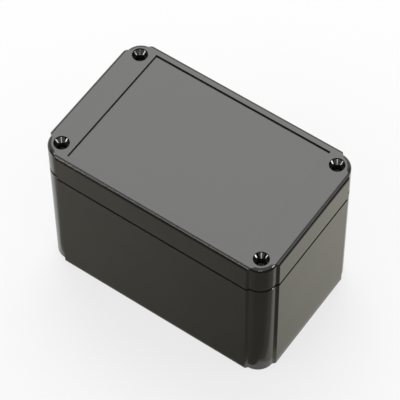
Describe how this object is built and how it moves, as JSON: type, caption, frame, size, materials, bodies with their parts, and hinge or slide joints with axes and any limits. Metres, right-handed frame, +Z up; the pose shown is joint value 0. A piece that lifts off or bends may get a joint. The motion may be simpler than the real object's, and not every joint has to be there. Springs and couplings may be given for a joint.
{
  "type": "plastic project box",
  "caption": "Black moulded enclosure with inset round corners, a screwed lid with a shallow front-plate recess, a tongue and groove seal and an open inside for a circuit board.",
  "frame": {"origin": "middle of the underside", "axes": "+X along the box, +Y across it, +Z up through the lid"},
  "size_m": [0.13, 0.08, 0.09],
  "materials": {
    "base_plastic": "fine satin mould texture",
    "lid_plastic": "fine satin mould texture",
    "seal_rubber": "matt",
    "black_steel": "black plated",
    "insert_brass": "knurled"
  },
  "bodies": {
    "base": {"base": "base_plastic", "insert_front_left": "insert_brass", "insert_front_right": "insert_brass", "insert_back_left": "insert_brass", "insert_back_right": "insert_brass"},
    "lid": {"lid": "lid_plastic", "seal": "seal_rubber"},
    "screw_front_left": {"screw_front_left": "black_steel"},
    "screw_front_right": {"screw_front_right": "black_steel"},
    "screw_back_left": {"screw_back_left": "black_steel"},
    "screw_back_right": {"screw_back_right": "black_steel"}
  },
  "joints": [
    {"name": "lid_lift", "type": "slide", "parent": "base", "child": "lid", "axis": [0, 0, 1], "range_m": [0, 0.05]},
    {"name": "screw_front_left_turn", "type": "hinge", "parent": "lid", "child": "screw_front_left", "pos_m": [-0.0564, -0.0314, 0.082], "axis": [0, 0, 1], "continuous": true},
    {"name": "screw_front_right_turn", "type": "hinge", "parent": "lid", "child": "screw_front_right", "pos_m": [0.0564, -0.0314, 0.082], "axis": [0, 0, 1], "continuous": true},
    {"name": "screw_back_left_turn", "type": "hinge", "parent": "lid", "child": "screw_back_left", "pos_m": [-0.0564, 0.0314, 0.082], "axis": [0, 0, 1], "continuous": true},
    {"name": "screw_back_right_turn", "type": "hinge", "parent": "lid", "child": "screw_back_right", "pos_m": [0.0564, 0.0314, 0.082], "axis": [0, 0, 1], "continuous": true}
  ]
}
